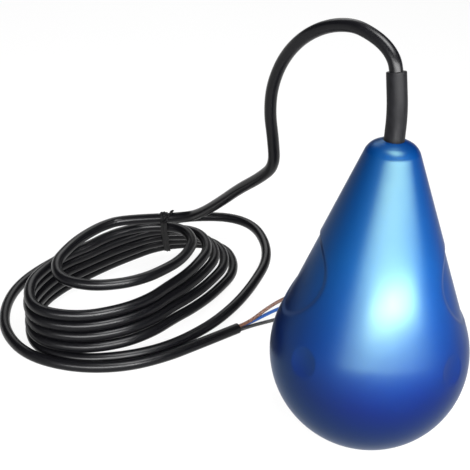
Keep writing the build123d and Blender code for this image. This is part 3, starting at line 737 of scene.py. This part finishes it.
def casing_profile():
    """The casing's outline as radius and height: a flat foot, a ball, a tangent cone, a small
    rounding, and a low dome up to the cable's hole, in millimetres, with its outward normals."""
    ball_height = math.sqrt(BALL_RADIUS**2 - FOOT_RADIUS**2)
    slope = math.tan(CONE_ANGLE)
    cone_low = ball_height + BALL_RADIUS * math.sin(CONE_ANGLE)
    cone_radius = BALL_RADIUS * math.cos(CONE_ANGLE)
    dome = (TIP_EDGE_RADIUS**2 + TIP_DOME_RISE**2) / (2 * TIP_DOME_RISE)
    dome_middle = TIP_HEIGHT - dome
    flat_side = cone_radius + cone_low * slope - TIP_ROUNDING / math.cos(CONE_ANGLE)
    a = 1 + slope**2
    b = -2 * (flat_side * slope + dome_middle)
    c = flat_side**2 + dome_middle**2 - (dome - TIP_ROUNDING) ** 2
    round_z = (-b + math.sqrt(b * b - 4 * a * c)) / (2 * a)
    round_r = flat_side - slope * round_z
    dome_turn = math.atan2(round_z - dome_middle, round_r)
    hole_turn = math.acos(TIP_HOLE_RADIUS / dome)
    foot = np.linspace(SKIN_FIRST_RADIUS, FOOT_RADIUS, 8)
    cone_end = round_z + TIP_ROUNDING * math.sin(CONE_ANGLE)
    height = np.r_[np.linspace(cone_low, CONE_ROWS_WIDER_FROM, 76)[1:],
                   np.linspace(CONE_ROWS_WIDER_FROM, cone_end, 18)[1:]]
    level = 0 * height
    parts = [
        np.c_[foot, 0 * foot, 0 * foot, -1 + 0 * foot],
        profile_arc(0.0, ball_height, BALL_RADIUS, -math.acos(FOOT_RADIUS / BALL_RADIUS),
                    BALL_ROWS_CLOSER_FROM, 58),
        profile_arc(0.0, ball_height, BALL_RADIUS, BALL_ROWS_CLOSER_FROM, CONE_ANGLE, 13),
        np.c_[cone_radius - (height - cone_low) * slope, height,
              level + math.cos(CONE_ANGLE), level + math.sin(CONE_ANGLE)],
        profile_arc(round_r, round_z, TIP_ROUNDING, CONE_ANGLE, dome_turn, 9),
        profile_arc(0.0, dome_middle, dome, dome_turn, hole_turn, 12),
    ]
    return np.concatenate(parts), ball_height, cone_low


def casing_grid(settings):
    """The profile turned about Z, with the skin drawn in along its normal by the depth of the
    panels, a level floor with a soft rim, and of the dishes, a shallow parabola. The surface
    then goes down the hole's wall and back inside, and closes under the foot."""
    profile, ball_height, cone_low = casing_profile()
    normal_r, normal_z = profile[:, 2], profile[:, 3]
    bearing = angles_round(settings.columns)
    r = profile[:, 0] + SKIN_PROUD * normal_r
    z = np.maximum(profile[:, 1] + SKIN_PROUD * normal_z, 0.0)
    across = r[:, None] * np.cos(bearing)
    panel_z = cone_low + PANEL_RISE
    level = np.sqrt((across / PANEL_HALF_WIDTH) ** 2 +
                    ((z[:, None] - panel_z) / PANEL_HALF_HEIGHT) ** 2)
    rim = np.clip((1 - level) * PANEL_HALF_WIDTH / PANEL_RIM, 0, 1)
    depth = settings.panel_depth / MM * rim * rim * (3 - 2 * rim)
    points = np.stack([r[:, None] * np.sin(bearing), -across, z[:, None] + 0 * across], -1)
    lift = math.asin(DISH_RISE / BALL_RADIUS)
    for side in (DISH_BEARING, -DISH_BEARING, 180 - DISH_BEARING, 180 + DISH_BEARING):
        around = math.radians(side)
        middle = np.array([BALL_RADIUS * math.cos(lift) * math.sin(around),
                           -BALL_RADIUS * math.cos(lift) * math.cos(around),
                           ball_height + BALL_RADIUS * math.sin(lift)])
        off = np.linalg.norm(points - middle, axis=2) / DISH_RADIUS
        bowl = np.clip(1 - off**2, 0, 1)
        depth = np.maximum(depth, settings.dish_depth / MM * bowl)
    outer_r = r[:, None] - depth * normal_r[:, None]
    outer_z = z[:, None] - depth * normal_z[:, None]
    keep = np.linspace(len(r) - 1, 0, 26).astype(int)
    inner_r = np.maximum(r[keep] - SKIN_THICKNESS * normal_r[keep], SKIN_LAST_RADIUS)
    inner_r[0] = TIP_HOLE_RADIUS + SKIN_HOLE_GAP
    inner_z = z[keep] - SKIN_THICKNESS * normal_z[keep]
    flat = np.ones_like(bearing)
    radius = np.concatenate([outer_r, inner_r[:, None] * flat])
    height = np.concatenate([outer_z, inner_z[:, None] * flat])
    return np.stack([radius * np.sin(bearing), -radius * np.cos(bearing), height], -1) * MM


def finish_node(node, material):
    """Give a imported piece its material."""
    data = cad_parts[node].data
    data.materials.clear()
    data.materials.append(material)


class FLOATSWITCH_OT_mould_casing(bpy.types.Operator):
    """Lay the casing's smooth moulded skin over its two shells"""

    bl_idname = "floatswitch.mould_casing"
    bl_label = "Mould casing"

    def execute(self, context):
        settings = context.scene.floatswitch_casing
        paint = casing_plastic(settings)
        piece = make_surface("casing_skin", casing_grid(settings), paint, sharp=50.0)
        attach(piece, "root")
        for node in ("lower_shell", "upper_shell"):
            finish_node(node, paint)
        return {"FINISHED"}


def sleeve_line():
    """The sleeve's middle line: straight up, one arc, and straight to its top."""
    low = np.array([0.0, 0.0, SLEEVE_LOW])
    bend = np.array([0.0, 0.0, SLEEVE_BEND_START])
    top = np.array(SLEEVE_TOP)
    out = (top - bend) / np.linalg.norm(top - bend)
    half = math.acos(out @ UP) / 2
    reach = SLEEVE_BEND_RADIUS * math.tan(half)
    side = out - UP * (out @ UP)
    side /= np.linalg.norm(side)
    middle = bend - UP * reach + side * SLEEVE_BEND_RADIUS
    turn = np.linspace(0, 2 * half, 14)[1:-1]
    arc = middle + SLEEVE_BEND_RADIUS * (np.sin(turn)[:, None] * UP - np.cos(turn)[:, None] * side)
    straight = low + np.linspace(0, 1, 24)[:, None] * (bend - UP * reach - low)
    end = bend + out * reach
    last = end + np.linspace(0, 1, 14)[:, None] * (top - end)
    return np.concatenate([straight, arc, last])


def sleeve_outline(line):
    """The middle and radius of each of the sleeve's rings: up the outside of the flange, along
    the taper, over the rounded top edge, and down the bore."""
    lengths = line_lengths(line)
    taper = SLEEVE_RADIUS - SLEEVE_TAPER * lengths / lengths[-1]
    rise = np.array([0.0, FLANGE_CHAMFER, FLANGE_HEIGHT - FLANGE_CHAMFER, FLANGE_HEIGHT,
                     FLANGE_HEIGHT])
    narrow = FLANGE_RADIUS - FLANGE_CHAMFER
    body = np.nonzero(lengths > FLANGE_HEIGHT + SLEEVE_EDGE)[0][:-1]
    heading = (line[-1] - line[-2]) / np.linalg.norm(line[-1] - line[-2])
    edge = np.linspace(0, math.pi / 2, 6)[1:]
    places = np.concatenate([
        line[0] + rise[:, None] * UP,
        line[body],
        line[-1] - heading * SLEEVE_EDGE + SLEEVE_EDGE * np.sin(edge)[:, None] * heading,
        line[::-1],
    ])
    radii = np.concatenate([
        [narrow, FLANGE_RADIUS, FLANGE_RADIUS, narrow, SLEEVE_RADIUS],
        taper[body],
        taper[-1] - SLEEVE_EDGE + SLEEVE_EDGE * np.cos(edge),
        np.full(len(line), SLEEVE_BORE_RADIUS),
    ])
    return places, radii


class FLOATSWITCH_OT_mould_sleeve(bpy.types.Operator):
    """Mould the bend sleeve with its flange, its slight taper and its rounded top edge"""

    bl_idname = "floatswitch.mould_sleeve"
    bl_label = "Mould sleeve"

    def execute(self, context):
        line = sleeve_line() * MM
        places, radii = sleeve_outline(line)
        across, upward = side_vectors(line)
        nearest = np.linalg.norm(places[:, None] - line[None], axis=2).argmin(axis=1)
        grid = rings(places, across[nearest], upward[nearest], radii[:, None], 48)
        piece = make_surface("moulded_sleeve", grid, sleeve_rubber(), ring_closed=True, sharp=30.0)
        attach(piece, "root")
        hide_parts("bend_sleeve")
        return {"FINISHED"}


class FLOATSWITCH_OT_finish_inside(bpy.types.Operator):
    """Give the switch, the swinging weight and the other inner pieces their finishes"""

    bl_idname = "floatswitch.finish_inside"
    bl_label = "Finish inside"

    def execute(self, context):
        cable = context.scene.floatswitch_cable
        steel = worked_metal("plated_steel", (0.60, 0.60, 0.62), 0.34, (3000.0, 260.0, 3000.0))
        turned = worked_metal("turned_steel", (0.66, 0.66, 0.67), 0.24, (3000.0, 3000.0, 3000.0))
        brass = worked_metal("tinned_brass", (0.72, 0.56, 0.28), 0.30, (400.0, 3000.0, 3000.0))
        iron = cast_iron()
        natural = moulded("natural_plastic", (0.62, 0.61, 0.57), 0.45, 1600.0, 0.000015)
        black = moulded("switch_plastic", (0.018, 0.018, 0.020), 0.38, 1200.0, 0.00002)
        red = moulded("plunger_plastic", (0.45, 0.02, 0.015), 0.30, 2500.0)
        seal = moulded("seal_rubber", (0.022, 0.022, 0.023), 0.62, 1500.0, 0.00003)
        finishes = {
            steel: ("switch_bolts", "switch_nuts", "frame_screws", "ballast_screw"),
            turned: ("pivot_pin", "pin_clip"),
            brass: ("tab_normally_closed", "tab_common", "tab_normally_open"),
            iron: ("swing_weight", "ballast_plate"),
            natural: ("switch_frame", "gland_nut", "pivot_spacer"),
            black: ("switch_case", "switch_cover", "cable_entry"),
            red: ("plunger",),
            seal: ("cable_seal",),
        }
        for material, nodes in finishes.items():
            for node in nodes:
                finish_node(node, material)
        for colour in CORE_ROUTES:
            paint = moulded(f"inner_{colour}_insulation", tuple(getattr(cable, colour)), 0.34,
                            3000.0)
            finish_node(f"inner_core_{colour}", paint)
        return {"FINISHED"}


def tie_band(line, radius, paint):
    """A flat band drawn tight round the turns. For each direction its inside lies on the turn
    that reaches farthest that way, the support line of their common hull, and its section is a
    thin strip with a raised wire along its middle."""
    turns = crossings(line, TIE_X, TIE_TURNS)[:, 1:]
    around = angles_round(240)
    out = np.stack([np.cos(around), np.sin(around)], -1)
    farthest = turns[(turns @ out.T).argmax(axis=0)]
    hull = farthest + out * (radius * TIE_SLACK + TIE_CLEARANCE)
    gaps = np.linalg.norm(np.roll(hull, -1, axis=0) - hull, axis=1)
    fine, normals = [], []
    for k, gap in enumerate(gaps):
        steps = max(1, int(gap / TIE_STEP))
        share = np.arange(steps)[:, None] / steps
        after = (k + 1) % len(hull)
        fine.append(hull[k] + share * (hull[after] - hull[k]))
        normals.append(out[k] + share * (out[after] - out[k]))
    fine, normals = np.concatenate(fine), np.concatenate(normals)
    across = TIE_WIDTH / 2 * np.cos(np.linspace(0, math.pi, 25))
    top = TIE_WIRE + TIE_WIRE * np.exp(-(across / TIE_WIRE) ** 2)
    top[[0, -1]] = TIE_EDGE
    strip = np.r_[np.c_[across, top], np.c_[across[::-4], 0 * across[::-4]]]
    grid = np.empty((len(fine), len(strip), 3))
    sway = TIE_SWAY * np.sin(fine @ np.array([900.0, 500.0]))
    grid[:, :, 0] = TIE_X + sway[:, None] + strip[None, :, 0]
    grid[:, :, 1:] = fine[:, None] + strip[None, :, 1, None] * normals[:, None]
    return make_surface("tie_band", grid, paint, ring_closed=True, sharp=40.0)


def tie_twist(line, radius, paint):
    """The tie's two ends twisted into one: a flat two-lobed section that turns as it runs over
    the top turn of the cable, from the band's front to behind it."""
    share = np.linspace(0, 1, 90)
    reach = radius + TIE_TWIST_REACH
    places = []
    for k in share:
        x = TIE_TWIST_X[0] + (TIE_TWIST_X[1] - TIE_TWIST_X[0]) * k
        middle = crossings(line, x, TOP_TURN)[0]
        turn = math.radians(TIE_TWIST_TURN[0] + (TIE_TWIST_TURN[1] - TIE_TWIST_TURN[0]) * k)
        places.append((x, middle[1] - reach * math.cos(turn), middle[2] + reach * math.sin(turn)))
    path = np.array(places)
    lay = line_lengths(path) / TIE_TWIST_LAY * 2 * math.pi
    width = TIE_TWIST_RADIUS + TIE_TWIST_LOBES * np.cos(
        2 * (angles_round(28)[None] - lay[:, None]))
    width *= np.clip(np.minimum(share, 1 - share) * 30 + 0.25, 0, 1)[:, None]
    return make_surface("tie_twist", rings(path, *side_vectors(path), width, 28), paint)


class FLOATSWITCH_OT_twist_tie(bpy.types.Operator):
    """Draw the flat tie round the stacked turns and twist its ends together"""

    bl_idname = "floatswitch.twist_tie"
    bl_label = "Twist tie"

    def execute(self, context):
        radius = context.scene.floatswitch_cable.diameter / 2
        paint = tie_cover()
        line = cable_line()
        piece = joined("flat_tie", [tie_band(line, radius, paint), tie_twist(line, radius, paint)])
        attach(piece, "root")
        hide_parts("cable_tie")
        return {"FINISHED"}


def floor_paper(settings):
    """White paper that keeps the shadows: mostly plain white where the camera sees it, also in a
    shine, and a darker tone for the light that it throws back on the object."""
    paint = Paint("floor_paper")
    white = paint.node("ShaderNodeEmission", inputs={"Color": (1, 1, 1, 1), "Strength": 1.0})
    shown = paint.shown()
    tone = paint.mixed(shown, (*settings.floor_bounce, 1.0), (*settings.floor, 1.0))
    plain = paint.node("ShaderNodeBsdfDiffuse", inputs={"Color": tone})
    share = shown * settings.floor_glow
    paint.close(paint.node("ShaderNodeMixShader", inputs={0: share, 1: plain, 2: white}))
    return paint.material


def light_room(world, settings):
    """An even faint light, and where the camera sees the room, also in a shine, the floor's white
    up to the horizon and a little above it."""
    walls = Paint("room", world)
    upward = walls.axis(walls.place("Generated"), 2)
    white = walls.limited(upward, *HORIZON, settings.floor_glow - settings.sky, 0.0)
    strength = walls.shown() * white + settings.sky
    walls.close(walls.node("ShaderNodeBackground", inputs={
        "Color": (1, 1, 1, 1), "Strength": strength}), "ShaderNodeOutputWorld")


def add_soft_box(name, place, aim, width, height, power):
    """An area lamp at a place, turned to face a point, and brightest in its middle: its light
    falls off to the edges as u (1 - u) v (1 - v) over its face."""
    data = bpy.data.lights.new(name, "AREA")
    data.shape = "RECTANGLE"
    data.size = width
    data.size_y = height
    data.energy = power
    cover = Paint(name, data)
    face = cover.node("ShaderNodeNewGeometry", output="Parametric")
    across, upward = cover.axis(face, 0), cover.axis(face, 1)
    bright = across * (1 - across) * upward * (1 - upward) * 36.0
    glow = cover.node("ShaderNodeEmission", inputs={"Strength": bright})
    cover.close(glow, "ShaderNodeOutputLight")
    lamp = bpy.data.objects.new(name, data)
    lamp.location = place
    lamp.visible_camera = False
    lamp.rotation_euler = (Vector(aim) - Vector(place)).to_track_quat("-Z", "Y").to_euler()
    bpy.context.scene.collection.objects.link(lamp)


class FLOATSWITCH_OT_set_stage(bpy.types.Operator):
    """Set the pale floor, the soft boxes and the even room light"""

    bl_idname = "floatswitch.set_stage"
    bl_label = "Set stage"

    def execute(self, context):
        settings = context.scene.floatswitch_stage
        corners = [(-1, -1), (1, -1), (1, 1), (-1, 1)]
        mesh = bpy.data.meshes.new("floor")
        mesh.from_pydata([(x * FLOOR_HALF, y * FLOOR_HALF, 0) for x, y in corners], [],
                         [(0, 1, 2, 3)])
        floor = bpy.data.objects.new("floor", mesh)
        context.scene.collection.objects.link(floor)
        mesh.materials.append(floor_paper(settings))
        for name, (place, aim, width, height, power, share) in SOFT_BOXES.items():
            add_soft_box(name, place, aim, width, height, getattr(settings, power) * share)
        world = bpy.data.worlds.new("room")
        light_room(world, settings)
        context.scene.world = world
        context.scene.view_settings.view_transform = "Standard"
        return {"FINISHED"}


class FLOATSWITCH_PT_panel(bpy.types.Panel):
    """Sizes, colours and steps of the cable float switch"""

    bl_idname = "FLOATSWITCH_PT_panel"
    bl_label = "Cable float switch"
    bl_space_type = "VIEW_3D"
    bl_region_type = "UI"
    bl_category = "Float switch"

    def draw(self, context):
        for title, settings in (("Casing", context.scene.floatswitch_casing),
                                ("Cable", context.scene.floatswitch_cable),
                                ("Stage", context.scene.floatswitch_stage)):
            box = self.layout.box()
            box.label(text=title)
            for name in settings.__annotations__:
                box.prop(settings, name)
        for operator in OPERATORS:
            self.layout.operator(operator.bl_idname)


OPERATORS = (
    FLOATSWITCH_OT_place_camera,
    FLOATSWITCH_OT_twist_tie,
    FLOATSWITCH_OT_lay_cable,
    FLOATSWITCH_OT_lay_cores,
    FLOATSWITCH_OT_mould_casing,
    FLOATSWITCH_OT_mould_sleeve,
    FLOATSWITCH_OT_finish_inside,
    FLOATSWITCH_OT_set_stage,
)
GROUPS = (CasingSettings, CableSettings, StageSettings)
CLASSES = GROUPS + OPERATORS + (FLOATSWITCH_PT_panel,)


def register():
    for entry in CLASSES:
        bpy.utils.register_class(entry)
    bpy.types.Scene.floatswitch_casing = PointerProperty(type=CasingSettings)
    bpy.types.Scene.floatswitch_cable = PointerProperty(type=CableSettings)
    bpy.types.Scene.floatswitch_stage = PointerProperty(type=StageSettings)


def unregister():
    del bpy.types.Scene.floatswitch_stage
    del bpy.types.Scene.floatswitch_cable
    del bpy.types.Scene.floatswitch_casing
    for entry in reversed(CLASSES):
        bpy.utils.unregister_class(entry)


def main():
    register()
    for operator in OPERATORS:
        group, name = operator.bl_idname.split(".")
        getattr(getattr(bpy.ops, group), name)()


if __name__ == "__main__":
    main()
